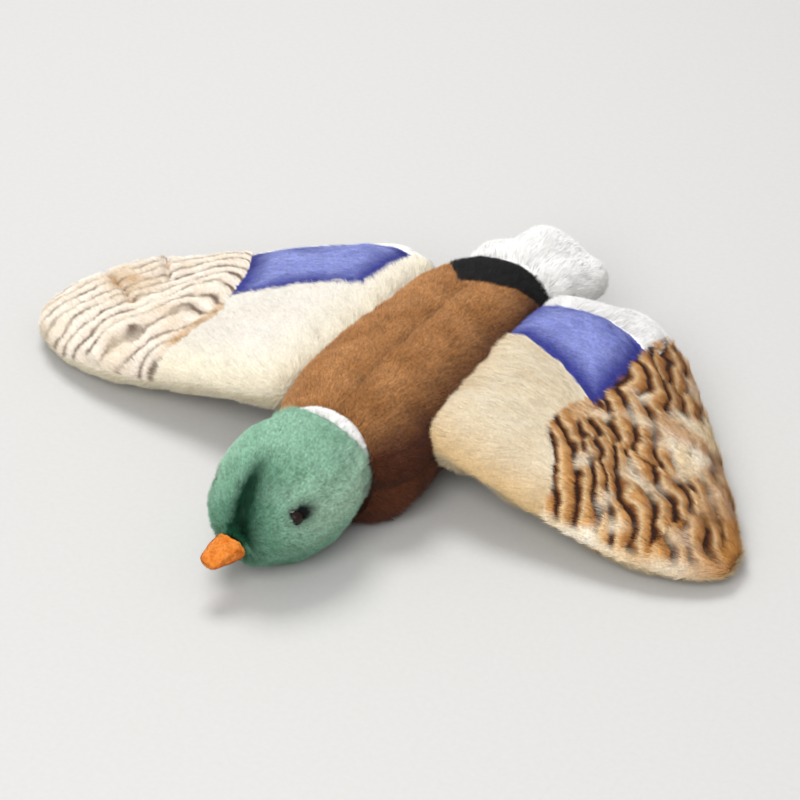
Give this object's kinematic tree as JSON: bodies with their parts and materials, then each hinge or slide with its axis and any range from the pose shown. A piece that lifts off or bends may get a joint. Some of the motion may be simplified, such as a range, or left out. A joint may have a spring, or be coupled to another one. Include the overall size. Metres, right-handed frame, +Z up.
{
  "type": "plush duck",
  "caption": "Soft stuffed duck toy that lies flat on its belly with its wings spread, and whose head, wings and tail turn at their seams.",
  "frame": {"origin": "on the surface that the duck lies on, under the belly, on the body's middle line", "axes": "+Z up from the surface, -Y towards the bill, +X out along the duck's left wing"},
  "size_m": [0.5693, 0.4419, 0.0892],
  "materials": {
    "brown_plush": "long-pile plush, brown",
    "dark_brown_plush": "long-pile plush, dark red-brown",
    "black_plush": "long-pile plush, black",
    "white_plush": "long-pile plush, white",
    "green_plush": "short-pile plush, soft green with sheen",
    "cream_plush": "medium-pile plush, cream",
    "blue_plush": "short-pile plush, violet-blue",
    "striped_plush": "medium-pile plush, tan with wavy brown stripes",
    "orange_cloth": "brushed knit, orange",
    "eye_plastic": "moulded, polished, dark brown",
    "washer_plastic": "moulded, natural white",
    "filling": "loose polyester fibre"
  },
  "bodies": {
    "body": {"left_back_panel": "brown_plush", "right_back_panel": "brown_plush", "belly_panel": "dark_brown_plush", "rump_patch": "black_plush", "body_filling": "filling"},
    "neck": {"neck_ring": "white_plush", "neck_filling": "filling"},
    "head": {"left_head_panel": "green_plush", "right_head_panel": "green_plush", "head_filling": "filling", "left_eye": "eye_plastic", "right_eye": "eye_plastic", "left_eye_washer": "washer_plastic", "right_eye_washer": "washer_plastic", "upper_bill": "orange_cloth", "lower_bill": "orange_cloth", "bill_filling": "filling"},
    "left_wing": {"left_wing_covert_panel": "cream_plush", "left_wing_blue_patch": "blue_plush", "left_wing_rear_edge_panel": "white_plush", "left_wing_tip_panel": "striped_plush", "left_wing_underside": "cream_plush", "left_wing_filling": "filling"},
    "right_wing": {"right_wing_covert_panel": "cream_plush", "right_wing_blue_patch": "blue_plush", "right_wing_rear_edge_panel": "white_plush", "right_wing_tip_panel": "striped_plush", "right_wing_underside": "cream_plush", "right_wing_filling": "filling"},
    "tail": {"tail_top_panel": "white_plush", "tail_underside": "white_plush", "tail_filling": "filling"}
  },
  "joints": [
    {"name": "neck_turn", "type": "hinge", "parent": "body", "child": "neck", "pos_m": [0.0035, -0.137, 0.0475], "axis": [0, 0, 1], "range_deg": [-20, 20]},
    {"name": "head_nod", "type": "hinge", "parent": "neck", "child": "head", "pos_m": [0.0035, -0.137, 0.0475], "axis": [-1, 0, 0], "range_deg": [-15, 25]},
    {"name": "left_wing_flap", "type": "hinge", "parent": "body", "child": "left_wing", "pos_m": [0.066, 0.028, 0.047], "axis": [0.0523, -0.9986, 0], "range_deg": [-20, 60]},
    {"name": "right_wing_flap", "type": "hinge", "parent": "body", "child": "right_wing", "pos_m": [-0.066, 0.028, 0.047], "axis": [0.0523, 0.9986, 0], "range_deg": [-20, 60]},
    {"name": "tail_lift", "type": "hinge", "parent": "body", "child": "tail", "pos_m": [0.009, 0.151, 0.046], "axis": [1, 0, 0], "range_deg": [-15, 20]}
  ]
}
